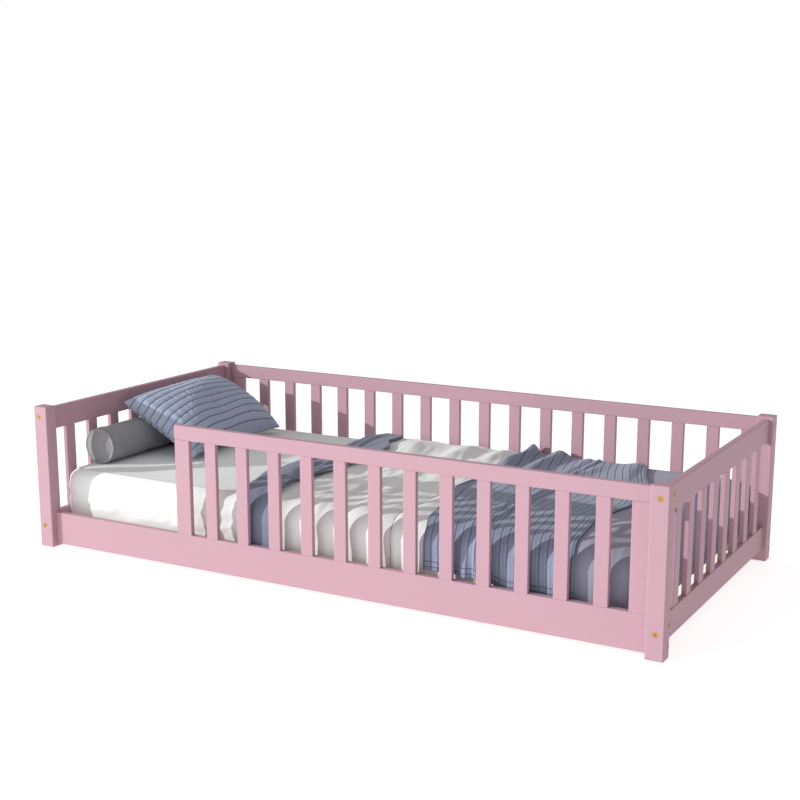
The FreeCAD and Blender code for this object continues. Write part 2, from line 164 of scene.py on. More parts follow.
class Shade:
    """A node material on one Principled shader."""

    def __init__(self, name, **sockets):
        self.material = bpy.data.materials.new(name)
        self.material.use_nodes = True
        self.tree = self.material.node_tree
        self.tree.nodes.clear()
        output = self.tree.nodes.new("ShaderNodeOutputMaterial")
        self.shader = self.tree.nodes.new("ShaderNodeBsdfPrincipled")
        self.tree.links.new(self.shader.outputs[0], output.inputs[0])
        for key, setting in sockets.items():
            self.set(self.shader, key.replace("_", " "), setting)

    def set(self, node, key, setting):
        """Links or sets one input of a node."""
        socket = node.inputs[key]
        if isinstance(setting, Value):
            self.tree.links.new(setting.socket, socket)
        else:
            socket.default_value = setting

    def node(self, kind, settings=None, inputs=None, output=0):
        """Any node: its type, its settings, its inputs, and the output wanted."""
        node = self.tree.nodes.new(kind)
        for key, setting in (settings or {}).items():
            setattr(node, key, setting)
        for key, setting in (inputs or {}).items():
            self.set(node, key, setting)
        return Value(self, node.outputs[output])

    def place(self, scale=(1, 1, 1)):
        """Object coordinates, stretched."""
        where = self.node("ShaderNodeTexCoord", output="Object")
        return self.node("ShaderNodeMapping", {}, {"Vector": where, "Scale": scale})

    def cloth(self, scale=(1, 1, 1)):
        """The piece's own flat cloth coordinates in metres, stretched."""
        where = self.node("ShaderNodeUVMap", {"uv_map": "cloth"})
        return self.node("ShaderNodeMapping", {}, {"Vector": where, "Scale": scale})

    def split(self, vector):
        """The X and Y of a vector."""
        node = self.tree.nodes.new("ShaderNodeSeparateXYZ")
        self.set(node, 0, vector)
        return Value(self, node.outputs[0]), Value(self, node.outputs[1])

    def noise(self, vector, scale, detail=3.0, roughness=0.55):
        return self.node("ShaderNodeTexNoise", {}, {"Vector": vector, "Scale": scale, "Detail": detail,
                                                    "Roughness": roughness})

    def mix(self, factor, first, second):
        """Blends two colours by a factor."""
        return self.node("ShaderNodeMix", {"data_type": "RGBA"}, {0: factor, 6: first, 7: second}, 2)

    def bump(self, height, strength, distance, under=None):
        inputs = {"Height": height, "Strength": strength, "Distance": distance}
        if under is not None:
            inputs["Normal"] = under
        return self.node("ShaderNodeBump", {}, inputs)

    def finish(self, **sockets):
        """Links what varies over the surface to the shader, and gives the material."""
        for key, setting in sockets.items():
            self.set(self.shader, key.replace("_", " "), setting)
        return self.material


def tint(shade, factor):
    """A colour made lighter or darker, with its alpha."""
    return tuple(min(1.0, c * factor) for c in shade) + (1.0,)


# ---- Finishes ---------------------------------------------------------------------------
GRAIN = {"x": (1.2, 60.0, 60.0), "y": (60.0, 1.2, 60.0), "z": (60.0, 60.0, 1.2)}


def paint_finish(finishes, along):
    """Satin paint over solid wood: faint grain along the piece, brush lines, soft cloudy tone."""
    shade = Shade(f"satin_paint_{along}", Specular_IOR_Level=0.16)
    grain = shade.noise(shade.place(GRAIN[along]), 1.0, 4.0, 0.6)
    cloud = shade.noise(shade.place(), 2.3, 2.0)
    speck = shade.noise(shade.place(), 420.0, 2.0)
    base = shade.mix(cloud, tint(finishes.paint, 0.955), tint(finishes.paint, 1.045))
    base = shade.mix(grain * 0.10, base, tint(finishes.paint, 0.74))
    return shade.finish(Base_Color=base, Roughness=0.46 + 0.10 * grain,
                        Normal=shade.bump(grain * 0.8 + speck * 0.2, 0.16, 0.0006))


def raw_wood_finish(finishes, name, along):
    """Planed softwood with growth rings drawn out along the grain."""
    shade = Shade(name)
    stretched = shade.place(tuple(s * 0.6 for s in GRAIN[along]))
    bend = shade.noise(shade.place(), 3.0, 2.0)
    rings = shade.noise(stretched, 1.4, 5.0, 0.62)
    line = (rings * 9.0 + bend * 3.0).math("PINGPONG", 1.0)
    base = shade.mix(line, tint(finishes.raw_wood, 1.12), tint(finishes.raw_wood, 0.72))
    return shade.finish(Base_Color=base, Roughness=0.62 + 0.12 * line,
                        Normal=shade.bump(line, 0.2, 0.0006))


def metal_finish(name, base_colour, roughness):
    """Turned metal with fine lathe marks and slight tarnish."""
    shade = Shade(name, Metallic=1.0)
    marks = shade.noise(shade.place(), 900.0, 2.0)
    tarnish = shade.noise(shade.place(), 160.0, 3.0)
    base = shade.mix(tarnish, tint(base_colour, 0.68), tint(base_colour, 1.12))
    return shade.finish(Base_Color=base, Roughness=roughness + 0.2 * marks,
                        Normal=shade.bump(marks, 0.15, 0.0003))


def weave(shade, pitch):
    """A plain weave's height over the cloth: threads crossing over and under, from two waves."""
    x, y = shade.split(shade.cloth())
    turn = 2 * math.pi / pitch
    warp = (x * turn).math("SINE")
    weft = (y * turn).math("SINE")
    return warp * weft


def sheet_finish(finishes):
    """Smooth white cotton with a fine weave and soft creases."""
    shade = Shade("white_cotton_sheet", Specular_IOR_Level=0.25, Sheen_Weight=0.12, Sheen_Roughness=0.5)
    creases = shade.noise(shade.place((1, 1, 2.2)), 7.0, 4.0, 0.5)
    fine = shade.noise(shade.place(), 650.0, 2.0)
    # Slightly darker down in the creases: painted shade
    base = shade.mix(creases, tint(finishes.sheet, 0.97), tint(finishes.sheet, 1.02))
    return shade.finish(Base_Color=base, Roughness=0.82 + 0.1 * fine,
                        Normal=shade.bump(fine, 0.12, 0.0004, shade.bump(creases, 0.25, 0.004)))


def jersey_finish(finishes):
    """Heathered jersey: light and dark fibres along the knit, and a soft nap."""
    shade = Shade("grey_jersey", Specular_IOR_Level=0.2, Sheen_Weight=0.25, Sheen_Roughness=0.45)
    fibre = shade.noise(shade.place((1, 0.35, 1)), 420.0, 3.0, 0.7)
    cloud = shade.noise(shade.place(), 14.0, 3.0)
    base = shade.mix(fibre, tint(finishes.bolster, 0.62), tint(finishes.bolster, 1.42))
    base = shade.mix(cloud * 0.22, base, tint(finishes.bolster, 0.8))
    return shade.finish(Base_Color=base, Roughness=0.86 + 0.1 * cloud,
                        Normal=shade.bump(fibre, 0.3, 0.0008))


# Width of a stitched line, length of a stitch, and ribs to a pitch
PILLOW_STITCHES = (0.0030, 0.011, 4)
THROW_STITCHES = (0.0021, 0.004, 2)
STITCH_GAP = 0.08
RIB_SHARE = 0.3


def quilting_finish(yarn, thread_and_groove_shade, name, pitch, stitches, hems=()):
    """Heathered blue-grey cloth with dark stitched lines every pitch across its first cloth direction, faint
    ribs between them, and stitching along its hems, each a cloth direction and a place.
    The lines are dark partly from the thread and partly from painted shade of their grooves, and the ribs'
    grooves are darkened with painted shade."""
    width, dashes, ribs = stitches
    shade = Shade(name, Specular_IOR_Level=0.18, Sheen_Weight=0.2, Sheen_Roughness=0.5)
    across, along = shade.split(shade.cloth())
    fibre = shade.noise(shade.cloth((1.0, 0.45, 1.0)), 240.0, 3.0, 0.8)
    slub = shade.noise(shade.cloth((1.0, 0.08, 1.0)), 150.0, 2.0, 0.6)
    cloud = shade.noise(shade.cloth(), 9.0, 2.0)
    waver = (shade.noise(shade.cloth(), 12.0, 1.0) - 0.5) * (pitch * 0.10)
    line = 1 - ((across + waver).to_multiple(pitch) / width).clamped()
    rib = 1 - (across.to_multiple(pitch / ribs) / (pitch / ribs * RIB_SHARE)).clamped()
    for direction, at in hems:
        edge = 1 - (((across, along)[direction] - at).math("ABSOLUTE") / width).clamped()
        line = line.math("MAXIMUM", edge)
    dash = along.to_multiple(dashes).math("GREATER_THAN", dashes * STITCH_GAP)
    # Stitched lines: the thread's dark colour, and painted shade in the groove each line pulls in
    stitch = (line * 1.9).clamped() * (0.72 + 0.28 * dash)
    base = shade.mix(fibre, tint(yarn, 0.55), tint(yarn, 1.45))
    base = shade.mix(slub * 0.5, base, tint(yarn, 1.55))
    base = shade.mix(cloud * 0.25, base, tint(yarn, 0.82))
    # Painted shade down in the ribs' grooves
    base = shade.mix(rib * 0.22, base, tint(yarn, 0.45))
    base = shade.mix(stitch * 0.68, base, (*thread_and_groove_shade, 1.0))
    height = fibre * 0.5 + slub * 0.4 - line * 1.8 - rib * 0.3
    return shade.finish(Base_Color=base, Roughness=0.84 + 0.1 * cloud,
                        Normal=shade.bump(height, 0.5, 0.0014))


COTTON_PITCH = 0.0016
CREASE_SHADE_WIDTH = 0.0024
FOOT_COLOUR_SHARPNESS = 60.0


def duvet_finish(base_colour, name, foot_colour=None):
    """Washed cotton with a plain weave and small soft creases. Given a foot colour, it also has a dark
    line of painted shadow along a crease across it, and turns that colour at its foot end."""
    shade = Shade(name, Specular_IOR_Level=0.22, Sheen_Weight=0.15, Sheen_Roughness=0.5)
    creases = shade.noise(shade.cloth((1.0, 0.35, 1.0)), 22.0, 5.0, 0.55)
    fine = shade.noise(shade.cloth(), 900.0, 2.0)
    # Slightly darker down in the creases: painted shade
    base = shade.mix(creases, tint(base_colour, 0.95), tint(base_colour, 1.04))
    base = shade.mix(fine * 0.12, base, tint(base_colour, 0.8))
    if foot_colour:
        along = shade.split(shade.cloth())[0]
        # Painted shadow of the crease across the duvet: a dark line along it
        stitched = 1 - ((along - DUVET_CREASE).math("ABSOLUTE") / CREASE_SHADE_WIDTH).clamped()
        base = shade.mix((stitched * 1.6).clamped() * 0.85, base, tint(base_colour, 0.14))
        # From here on along the cloth the duvet turns to the foot colour, slightly darker down in the creases
        # as painted shade
        foot_coloured = ((along - FOOT_COLOUR_FROM) * FOOT_COLOUR_SHARPNESS).clamped()
        base = shade.mix(foot_coloured, base, shade.mix(creases, tint(foot_colour, 0.92), tint(foot_colour, 1.08)))
    return shade.finish(Base_Color=base, Roughness=0.85 + 0.08 * creases,
                        Normal=shade.bump(weave(shade, COTTON_PITCH), 0.12, 0.0004,
                                          shade.bump(creases, 0.30, 0.003)))


# ---- Surfaces from arrays -----------------------------------------------------------------
def ripple(first, second, wavelength, seed, count=18):
    """Smooth waviness of about unit height: the sum of plane waves in seeded directions,
    cos(k . p + phase), with wavelengths within a third of the one asked for."""
    rng = np.random.default_rng(seed)
    turn = rng.uniform(0, 2 * np.pi, count)
    number = 2 * np.pi / (wavelength * rng.uniform(0.7, 1.4, count))
    phase = rng.uniform(0, 2 * np.pi, count)
    waves = [np.cos(k * (np.cos(t) * first + np.sin(t) * second) + p) for k, t, p in zip(number, turn, phase)]
    return np.sum(waves, axis=0) / math.sqrt(count / 2)


def smooth(x, low, high):
    """0 below low, 1 above high, and 3t^2 - 2t^3 between."""
    t = np.clip((x - low) / (high - low), 0, 1)
    return t * t * (3 - 2 * t)


def quads(rows, columns, around=False):
    """The faces of a grid of points, closed on itself along its columns when it goes around."""
    i = np.arange(rows - 1)[:, None]
    j = np.arange(columns if around else columns - 1)[None, :]
    following = (j + 1) % columns
    return np.stack([i * columns + j, i * columns + following, (i + 1) * columns + following,
                     (i + 1) * columns + j], axis=-1).reshape(-1, 4)


def piece(name, points, faces, cloth=None):
    """A smooth mesh object at the origin from points, faces and flat cloth coordinates."""
    mesh = bpy.data.meshes.new(name)
    mesh.from_pydata(points.reshape(-1, 3).tolist(), [], [list(face) for face in faces])
    mesh.polygons.foreach_set("use_smooth", np.ones(len(mesh.polygons), bool))
    if cloth is not None:
        corner = np.zeros(len(mesh.loops), np.int32)
        mesh.loops.foreach_get("vertex_index", corner)
        layer = mesh.uv_layers.new(name="cloth")
        layer.data.foreach_set("uv", cloth.reshape(-1, 2)[corner].astype(np.float32).ravel())
    obj = bpy.data.objects.new(name, mesh)
    bpy.context.scene.collection.objects.link(obj)
    return obj


def welded(obj, distance=1e-5):
    """Merges doubled points, and turns every face outwards."""
    work = bmesh.new()
    work.from_mesh(obj.data)
    bmesh.ops.remove_doubles(work, verts=work.verts, dist=distance)
    bmesh.ops.dissolve_degenerate(work, edges=work.edges, dist=distance / 10)
    bmesh.ops.recalc_face_normals(work, faces=work.faces)
    work.to_mesh(obj.data)
    work.free()
    obj.data.update()
    return obj


def give(obj, *materials):
    """Replaces an object's materials."""
    obj.data.materials.clear()
    for material in materials:
        obj.data.materials.append(material)
    return obj


def points_in(mesh):
    """The vertices of a mesh as an array."""
    out = np.zeros(len(mesh.vertices) * 3, np.float32)
    mesh.vertices.foreach_get("co", out)
    return out.reshape(-1, 3).astype(float)


def simulate(obj, frames, cap, settings):
    """Runs Cloth without gravity on a piece, holds each point within cap of where it was, and keeps the
    result."""
    start = points_in(obj.data)
    cloth = obj.modifiers.new("cloth", "CLOTH")
    for key, setting in settings.items():
        setattr(cloth.settings, key, setting)
    cloth.settings.effector_weights.gravity = 0.0
    cloth.point_cache.frame_start = 1
    cloth.point_cache.frame_end = frames
    for step in range(1, frames + 1):
        bpy.context.scene.frame_set(step)
    shown = obj.evaluated_get(bpy.context.evaluated_depsgraph_get())
    shift = points_in(shown.data) - start
    far = np.linalg.norm(shift, axis=1, keepdims=True)
    obj.modifiers.remove(cloth)
    bpy.context.scene.frame_set(1)
    held = start + shift * np.minimum(1.0, cap / np.maximum(far, 1e-9))
    obj.data.vertices.foreach_set("co", held.astype(np.float32).ravel())
    obj.data.update()


# ---- Mattress ---------------------------------------------------------------------------
def outline(low, high, radius, count):
    """A rounded rectangle: corner circles' centres and outward turn go along the arc length piecewise
    straight, and a point is the centre plus the radius along the turn. Gives centres and normals."""
    lx, ly, hx, hy = low[0] + radius, low[1] + radius, high[0] - radius, high[1] - radius
    arc = radius * math.pi / 2
    sides = np.array([hy - ly, arc, hx - lx, arc, hy - ly, arc, hx - lx, arc])
    knots = np.concatenate([[0], np.cumsum(sides)])
    cx = [hx, hx, hx, lx, lx, lx, lx, hx, hx]
    cy = [ly, hy, hy, hy, hy, ly, ly, ly, ly]
    turn = np.array([0, 0, 1, 1, 2, 2, 3, 3, 4]) * math.pi / 2
    s = np.linspace(0, knots[-1], count, endpoint=False)
    angle = np.interp(s, knots, turn)
    centre = np.stack([np.interp(s, knots, cx), np.interp(s, knots, cy)], axis=-1)
    return s, centre, np.stack([np.cos(angle), np.sin(angle)], axis=-1)


MATTRESS_CORNER = 0.042
MATTRESS_RIM = 0.034
SIDE_BULGE = 0.004
TOP_CROWN = 0.0035
WELT_HEIGHT = 0.003
WELT_RING = 41
WELT_RINGS = 0.8
OUTLINE_POINTS = 520
BASE_RINGS, RIM_RINGS, SIDE_RINGS, TOP_RINGS = 8, 9, 17, 26
CLOSED = 0.96
# Height of the waves on the side, how much closer they lie up the side than along it, wavelength, seed
SIDE_WAVES = ((0.0016, 3, 0.16, 3), (0.0005, 2, 0.045, 4))
TOP_WAVE = 0.0012


def mattress_surface(low, high):
    """A rounded rectangle carried up a profile: flat base, a rounded rim, a side that bulges as
    1 - t^2, a raised welt at the top rim, then rings that close in on the middle line over a crown.
    One many-sided face fills the narrow ring left at the top and at the base."""
    s, centre, normal = outline(low, high, MATTRESS_CORNER, OUTLINE_POINTS)
    quarter = np.linspace(0, math.pi / 2, RIM_RINGS)
    side = np.linspace(-1, 1, SIDE_RINGS + 2)[1:-1]
    middle = (low[2] + high[2]) / 2
    half = (high[2] - low[2]) / 2 - MATTRESS_RIM
    inwards = np.linspace(0, 1, TOP_RINGS) ** 1.3
    outset = np.concatenate([np.full(BASE_RINGS, -MATTRESS_RIM), MATTRESS_RIM * (np.sin(quarter) - 1),
                             SIDE_BULGE * (1 - side ** 2), MATTRESS_RIM * (np.cos(quarter) - 1),
                             np.full(TOP_RINGS, -MATTRESS_RIM)])
    outset = outset - SIDE_BULGE
    height = np.concatenate([np.full(BASE_RINGS, low[2]), low[2] + MATTRESS_RIM * (1 - np.cos(quarter)),
                             middle + half * side, high[2] - MATTRESS_RIM * (1 - np.sin(quarter)),
                             high[2] + TOP_CROWN * np.sin(inwards * math.pi / 2)])
    closing = np.concatenate([1 - np.linspace(0, 1, BASE_RINGS), np.zeros(2 * RIM_RINGS + SIDE_RINGS),
                              inwards]) * CLOSED
    welt = np.exp(-((np.arange(len(height)) - WELT_RING) / WELT_RINGS) ** 2) * WELT_HEIGHT
    edge = centre[None] + (MATTRESS_CORNER + outset)[:, None, None] * normal[None]
    spine_half = (high[1] - low[1]) / 2
    spine = np.stack([np.clip(centre[:, 0], low[0] + spine_half, high[0] - spine_half),
                      np.full(len(s), (low[1] + high[1]) / 2)], axis=-1)
    plan = edge * (1 - closing[:, None, None]) + spine[None] * closing[:, None, None]
    around, up = np.meshgrid(s, height)
    on_side = np.exp(-((up - middle) / (half * 1.3)) ** 4)
    swell = sum(size * ripple(around, closer * up, wave, seed) for size, closer, wave, seed in SIDE_WAVES)
    plan = plan + (swell * on_side)[..., None] * normal[None]
    soft = ripple(plan[..., 0], plan[..., 1], 0.3, 5) * TOP_WAVE * smooth(closing, 0, 0.2)[:, None]
    z = height[:, None] + welt[:, None] + soft * (height > middle)[:, None]
    points = np.concatenate([plan, z[..., None]], axis=-1)
    ring = np.arange(len(s))
    caps = [ring.tolist(), (ring + (len(height) - 1) * len(s)).tolist()]
    return points, quads(len(height), len(s), around=True).tolist() + caps


# ---- Bolster ------------------------------------------------------------------------------
PIPING_RADIUS = 0.0032
PIPING_INSET = 0.0035
PIPING_BACK = 0.0125
END_INSET = 0.006
END_SUNK = 0.003
END_DOME = 0.010
SIDE_BACK = 0.0165
SIDE_SWELL = 0.0028
JERSEY_WAVE = 0.0011
GATHER_HEIGHT = 0.0004
GATHERS = 23
BOLSTER_POINTS = 120


def bolster_surface(low, high):
    """A profile turned about the bolster's axis: domed end, piping ring at the rim, a side that
    waists in slightly, and the same again. Shallow waves run round it near the ends, and it is
    slightly flattened underneath."""
    radius = (high[0] - low[0]) / 2
    half = (high[1] - low[1]) / 2
    centre = (low + high) / 2
    end = np.linspace(0, 1, 15)[:-1]
    pipe = np.linspace(-0.25 * math.pi, 1.1 * math.pi, 11)
    t = np.linspace(0, 1, 46)[1:]
    r = np.concatenate([end * (radius - END_INSET), radius - PIPING_INSET + PIPING_RADIUS * np.sin(pipe),
                        radius - PIPING_INSET + SIDE_SWELL * smooth(t, 0.0, 0.06)])
    y = np.concatenate([half - END_SUNK - END_DOME * end ** 3,
                        half - PIPING_BACK + PIPING_RADIUS * np.cos(pipe), (half - SIDE_BACK) * (1 - t)])
    r = np.concatenate([r, r[-2::-1]])[:, None]
    y = np.concatenate([y, -y[-2::-1]])[:, None]
    turn = np.linspace(0, 2 * math.pi, BOLSTER_POINTS, endpoint=False)[None]
    round_x, round_z = radius * np.cos(turn) * 2 + 0 * y, radius * np.sin(turn) * 2 + y
    wave = ripple(round_x, round_z, 0.09, 11)
    gather = np.cos(turn * GATHERS) * np.exp(-((half - 0.035 - abs(y)) / 0.03) ** 2)
    wide = r + (JERSEY_WAVE * wave + GATHER_HEIGHT * gather) * smooth(half - abs(y), 0.012, 0.05)
    flat = smooth(-np.cos(turn - math.pi / 2), 0.86, 1.0)
    points = np.stack([centre[0] + wide * np.cos(turn), centre[1] + y + 0 * wide,
                       centre[2] + wide * np.sin(turn) * (1 - 0.02 * flat)], axis=-1)
    return points, quads(len(r), BOLSTER_POINTS, around=True)


# ---- Pillow ---------------------------------------------------------------------------------
# Head front, head rear, foot rear, foot front
PILLOW_CORNERS = np.array([[-0.964, -0.148, 0.402], [-0.972, 0.370, 0.404],
                           [-0.685, 0.368, 0.247], [-0.662, -0.160, 0.247]])
PANEL_ROWS, PANEL_COLUMNS = 133, 112
PANEL_WIDE, PANEL_DEEP = 0.53, 0.34
SIDE_BOW, END_BOW = 0.033, 0.060
ROUNDING = 2.3
FULL_ACROSS, FULL_DOWN = 0.52, 0.56
STITCH_WIDTH = 0.0045
STITCH_ABOVE, STITCH_BELOW = 0.0024, 0.0012
PUCKER = 0.0007
# Cloth settings that swell the pillow, the frames they run for, and how far a point may move
PILLOW_CLOTH = {"quality": 6, "mass": 0.25, "tension_stiffness": 20.0, "compression_stiffness": 12.0,
                "shear_stiffness": 6.0, "bending_stiffness": 0.4, "use_pressure": True,
                "uniform_pressure_force": 4.0}
PILLOW_FRAMES = 20
PILLOW_CAP = 0.012


def pillow_surface(sizes):
    """Two panels over a four-cornered patch, sewn at its edge. A panel stands off the patch by
    (1 - |2u-1|^n)^m (1 - |2v-1|^n)^k, the edges bow in between the corners, and each stitched line
    dips by exp(-(d / w)^2), d the distance to it."""
    v, u = np.meshgrid(np.linspace(0, 1, PANEL_ROWS), np.linspace(0, 1, PANEL_COLUMNS), indexing="ij")
    across, down = 2 * u - 1, 2 * v - 1
    bowed_u = 0.5 + (u - 0.5) * (1 - SIDE_BOW * (1 - down ** 2))
    bowed_v = 0.5 + (v - 0.5) * (1 - END_BOW * (1 - across ** 2))
    a, b, c, d = PILLOW_CORNERS
    patch = ((1 - bowed_u) * (1 - bowed_v))[..., None] * a + (bowed_u * (1 - bowed_v))[..., None] * b \
        + (bowed_u * bowed_v)[..., None] * c + ((1 - bowed_u) * bowed_v)[..., None] * d
    up = np.cross(a - b, a - d)
    up = up * np.sign(up[2]) / np.linalg.norm(up)
    wide = np.linalg.norm(b - a)
    deep = np.linalg.norm(d - a)
    body = (np.clip(1 - abs(across) ** ROUNDING, 0, 1) ** FULL_ACROSS) \
        * (np.clip(1 - abs(down) ** ROUNDING, 0, 1) ** FULL_DOWN)
    full = body * (1 + 0.035 * ripple(u * PANEL_WIDE, v * PANEL_DEEP, 0.22, 21))
    to_line = abs((v * deep / sizes.channel_pitch + 0.5) % 1 - 0.5) * sizes.channel_pitch
    dip = np.exp(-(to_line / STITCH_WIDTH) ** 2) * np.clip(body * 4, 0, 1)
    pucker = PUCKER * ripple(u * PANEL_WIDE, v * 0.06, 0.018, 22) * np.clip(body * 2, 0, 1)
    upper = patch + (sizes.pillow_crown * full - STITCH_ABOVE * dip + pucker)[..., None] * up
    lower = patch - (sizes.pillow_belly * body - STITCH_BELOW * dip)[..., None] * up
    flat = np.stack([v * deep, u * wide], axis=-1)
    points = np.concatenate([upper, lower])
    panel = quads(PANEL_ROWS, PANEL_COLUMNS)
    faces = np.concatenate([panel, panel[:, ::-1] + PANEL_ROWS * PANEL_COLUMNS])
    return points, faces, np.concatenate([flat, flat])


# ---- Draped cloth ---------------------------------------------------------------------------
# The cloth's bend over the mattress's edge, the round corner it goes over, and its gaps to the mattress
EDGE_BEND = 0.053
EDGE_CORNER = 0.070
CORNER_NORM = 5
CLEARANCE = 0.002
STAND_OFF = 0.008
DUVET_CORNER = (MATTRESS_HIGH[0] + STAND_OFF - EDGE_CORNER, MATTRESS_LOW[1] - STAND_OFF + EDGE_CORNER)
NO_FOOT_EDGE = 9.0
DUVET_LAST, THROW_LAST = MATTRESS_LOW[1] - 0.02, MATTRESS_LOW[1]
DUVET_REAR_GAP, DUVET_ACROSS = 0.022, 1.003
THROW_REAR_GAP, THROW_ACROSS = 0.026, 0.965
THROW_ALONG = 0.50
THROW_GAP = 0.0022
FOOT_HANG = 0.122
FOLD_RADIUS = 0.006
BAND_ROWS, TURN_ROWS, DUVET_ROWS, DUVET_COLUMNS = 70, 16, 250, 200
THROW_ROWS, THROW_COLUMNS = 200, 310
FOLD_HEIGHT, PLEAT_DEPTH = 0.0032, 0.005
# Where edges lie along the bed, each (place across, place along); the band's is its width
TURNED_ALONG = ((-0.46, 0.104), (-0.37, 0.122), (-0.22, 0.112), (-0.10, 0.155), (0.04, 0.185), (0.20, 0.142),
                (0.34, 0.086), (0.45, 0.052))
HEAD_ALONG = ((-0.46, -0.272), (-0.335, -0.318), (-0.14, -0.343), (0.10, -0.345), (0.28, -0.322),
              (0.45, -0.305))
THROW_HEAD = ((-0.45, 0.330), (-0.376, 0.305), (-0.075, 0.235), (0.215, 0.236), (0.45, 0.205))
THROW_FOOT = ((-0.45, 0.755), (-0.30, 0.735), (-0.174, 0.712), (0.0, 0.742), (0.217, 0.720), (0.434, 0.635))
# Where the crease across the duvet lies; its shadow is also painted there as a dark line
DUVET_CREASE = 0.212
# Where along the cloth the duvet turns to the foot colour
FOOT_COLOUR_FROM = 0.62
THROW_GATHER = 0.463
# Stitching along the throw's hems: cloth direction and place
THROW_HEMS = ((1, 0.955), (1, 0.940), (0, 0.005), (0, 0.482), (0, 0.494))
# Long folds: start and end, each (along, across), then width and height
DUVET_RIDGES = (
    ((-0.215, 0.48), (-0.17, 0.20), 0.045, 0.003),
    ((-0.13, 0.48), (-0.10, 0.22), 0.050, 0.012),
    ((0.06, 0.48), (0.01, 0.14), 0.036, 0.015),
    ((0.17, 0.48), (0.12, 0.10), 0.028, 0.012),
    ((0.20, 0.14), (0.06, -0.30), 0.014, 0.008),
    ((0.05, 0.10), (-0.06, -0.36), 0.018, 0.007),
    ((-0.04, 0.06), (-0.15, -0.34), 0.015, 0.006),
    ((0.84, 0.40), (0.80, -0.30), 0.026, 0.009),
)
THROW_RIDGES = (
    ((0.238, 0.52), (0.274, 0.16), 0.020, 0.030),
    ((0.330, 0.52), (0.360, 0.02), 0.030, 0.020),
    ((0.60, 0.50), (0.64, 0.18), 0.030, 0.010),
    ((0.50, 0.36), (0.45, -0.30), 0.020, 0.006),
)


def over_edges(along, across, corner):
    """Lays flat cloth over a rounded corner. along and across run past the corner circle's centre by
    da and db; the cloth goes out from that centre by their p-norm, at the angle atan2(db, da), flat
    at first, then round a quarter circle, then straight down.
    Gives the points, the outward normals and the length that hangs."""
    da = np.maximum(0, along - corner[0])
    db = np.maximum(0, corner[1] - across)
    far = (da ** CORNER_NORM + db ** CORNER_NORM) ** (1 / CORNER_NORM)
    turn = np.where(far > 0, np.arctan2(db, da), 0)
    start = EDGE_CORNER - EDGE_BEND
    bent = np.clip((far - start) / EDGE_BEND, 0, math.pi / 2)
    hung = np.maximum(0, far - start - EDGE_BEND * math.pi / 2)
    out = np.minimum(far, start) + EDGE_BEND * np.sin(bent)
    drop = EDGE_BEND * (1 - np.cos(bent)) + hung
    facing = np.where(far > 0, 1, 0)[..., None] * np.stack([np.cos(turn), -np.sin(turn)], axis=-1)
    points = np.stack([np.minimum(along, corner[0]) + out * facing[..., 0],
                       np.maximum(across, corner[1]) + out * facing[..., 1],
                       MATTRESS_HIGH[2] + CLEARANCE - drop], axis=-1)
    normals = np.concatenate([facing * np.sin(bent)[..., None], np.cos(bent)[..., None]], axis=-1)
    return points, normals, hung


def bell(x, width):
    """exp(-(x / width)^2)."""
    return np.exp(-(x / width) ** 2)


def edge_line(places, across, last, size, wavelength, seed):
    """An edge through given places, straight between them, which keeps on as it was past a last place
    across, with a slight waviness of its own."""
    line = np.interp(np.maximum(across, last), *zip(*places))
    return line + size * ripple(across, 0 * across, wavelength, seed, 5)


def ridge(x, y, start, end, width, height):
    """A long soft fold: height exp(-(d / width)^2), d from the line through two points, which sways
    a little. It fades out past its ends."""
    line = np.array(end) - np.array(start)
    reach = np.hypot(*line)
    line = line / reach
    t = (x - start[0]) * line[0] + (y - start[1]) * line[1]
    d = (x - start[0]) * -line[1] + (y - start[1]) * line[0]
    d = d + 0.008 * np.sin(t * 2 * math.pi / 0.34 + start[0] * 9)
    fade = smooth(t, -0.10, 0.08) * (1 - smooth(t, reach - 0.12, reach + 0.10))
    return height * bell(d, width) * fade


def folds(along, across, seed):
    """Folds that run across the bed: round crests from the tanh of waves stretched that way, with
    finer ones among them, all drifting along the bed as they go. Between 0 and about 2."""
    sway = 0.022 * np.sin(across * 5.2 + seed) + 0.006 * ripple(along, across, 0.3, seed, 7)
    drift = along + 0.10 * across + sway
    broad = np.tanh(1.3 * ripple(drift, across * 0.14, 0.085, seed + 1, 9))
    fine = ripple(drift, across * 0.22, 0.032, seed + 2, 11)
    return np.maximum(0, 1 + broad + 0.22 * fine)


def pleats(along, hung, seed):
    """Pleats of a hanging edge: round crests along it that deepen as they go down."""
    broad = ripple(along, hung * 0.22, 0.105, seed, 9)
    fine = ripple(along, hung * 0.15, 0.04, seed, 5)
    return 0.5 * (1 + np.tanh(1.2 * broad + 0.3 * fine)) * smooth(hung, -0.03, 0.11)


def duvet_stand(normals, hung, along, across):
    """Height of the duvet's underside over the mattress, along the normal: folds and ridges on top,
    calmer at the rear edge and under the throw, pleats where it hangs, and a crease right across."""
    level = smooth(normals[..., 2], 0.1, 0.95)
    edge = along * abs(normals[..., 1]) + (1.3 - across) * normals[..., 0]
    rear = 1 - 0.55 * smooth(across, 0.36, 0.45)
    calm = 1 - 0.85 * smooth(along, 0.24, 0.32) * (1 - smooth(along, 0.72, 0.80))
    creased = folds(along, across, 31)
    top = FOLD_HEIGHT * creased * calm + sum(ridge(along, across, *r) for r in DUVET_RIDGES)
    past = along - DUVET_CREASE
    seam = 0.004 * bell(past - 0.018, 0.012) - 0.003 * bell(past, 0.007)
    hanging = 0.0012 * creased * (1 - level) - PLEAT_DEPTH * pleats(edge, hung, 43)
    return seam + top * level * rear + hanging


